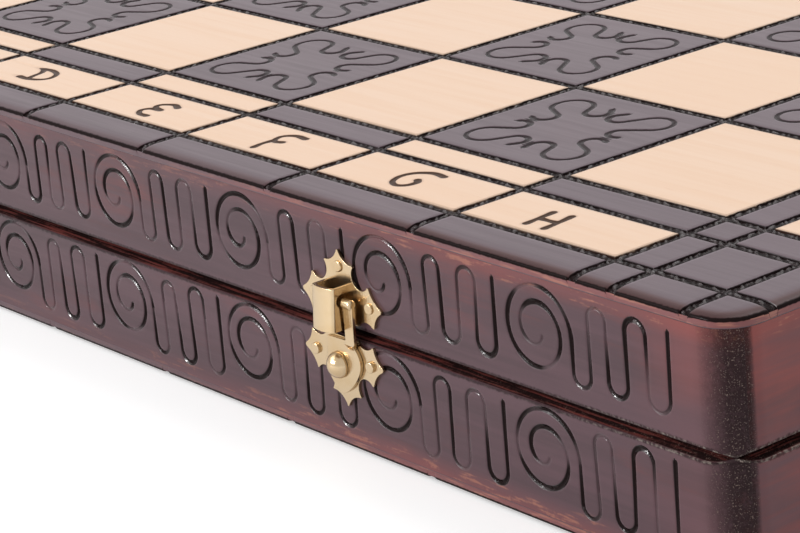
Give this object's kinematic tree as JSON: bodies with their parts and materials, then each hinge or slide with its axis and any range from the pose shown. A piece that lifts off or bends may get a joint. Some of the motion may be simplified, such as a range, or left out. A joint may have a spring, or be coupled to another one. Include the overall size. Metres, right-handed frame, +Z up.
{
  "type": "folding chess box",
  "caption": "Shallow hinged wooden box for chess pieces; its two outer faces form the grooved and inlaid playing board when it is opened flat, and brass swing latches close the front.",
  "frame": {"origin": "centre of the base's board face, which lies on the table when the box is closed; the latches and knuckles overhang it unevenly by a few millimetres", "axes": "+X along the latched front from left to right, +Y from the latches to the hinged back, +Z up from the base to the lid"},
  "size_m": [0.54, 0.279, 0.064],
  "materials": {
    "stained_wood": "dark stained beech under satin lacquer",
    "board_wood": "lacquered light wood with dark stained fields",
    "felt": "short green felt",
    "brass": "thin brass-plated stampings",
    "steel": "plain wire"
  },
  "bodies": {
    "base": {"base_back_rail": "stained_wood", "base_board_panel": "board_wood", "base_felt_lining": "felt", "base_front_rail": "stained_wood", "base_left_rail": "stained_wood", "base_right_rail": "stained_wood", "left_backplate_nails": "brass", "left_hinge_base_leaf": "brass", "left_hinge_base_screws": "brass", "left_hinge_pin": "steel", "left_latch_backplate": "brass", "left_latch_pivot": "brass", "right_backplate_nails": "brass", "right_hinge_base_leaf": "brass", "right_hinge_base_screws": "brass", "right_hinge_pin": "steel", "right_latch_backplate": "brass", "right_latch_pivot": "brass"},
    "lid": {"left_hinge_lid_leaf": "brass", "left_hinge_lid_screws": "brass", "left_keeper_nails": "brass", "left_latch_keeper": "brass", "left_latch_staple": "brass", "lid_back_rail": "stained_wood", "lid_board_panel": "board_wood", "lid_felt_lining": "felt", "lid_front_rail": "stained_wood", "lid_left_rail": "stained_wood", "lid_right_rail": "stained_wood", "right_hinge_lid_leaf": "brass", "right_hinge_lid_screws": "brass", "right_keeper_nails": "brass", "right_latch_keeper": "brass", "right_latch_staple": "brass"},
    "left_lever": {"left_latch_lever": "brass"},
    "right_lever": {"right_latch_lever": "brass"}
  },
  "joints": [
    {"name": "lid_hinge", "type": "hinge", "parent": "base", "child": "lid", "pos_m": [0, 0.1352, 0.032], "axis": [-1, 0, 0], "range_deg": [0, 180]},
    {"name": "left_latch_swing", "type": "hinge", "parent": "base", "child": "left_lever", "pos_m": [-0.1405, -0.1365, 0.0232], "axis": [0, 1, 0], "range_deg": [-2.4, 160]},
    {"name": "right_latch_swing", "type": "hinge", "parent": "base", "child": "right_lever", "pos_m": [0.1364, -0.1365, 0.0232], "axis": [0, 1, 0], "range_deg": [-2.4, 160]}
  ]
}
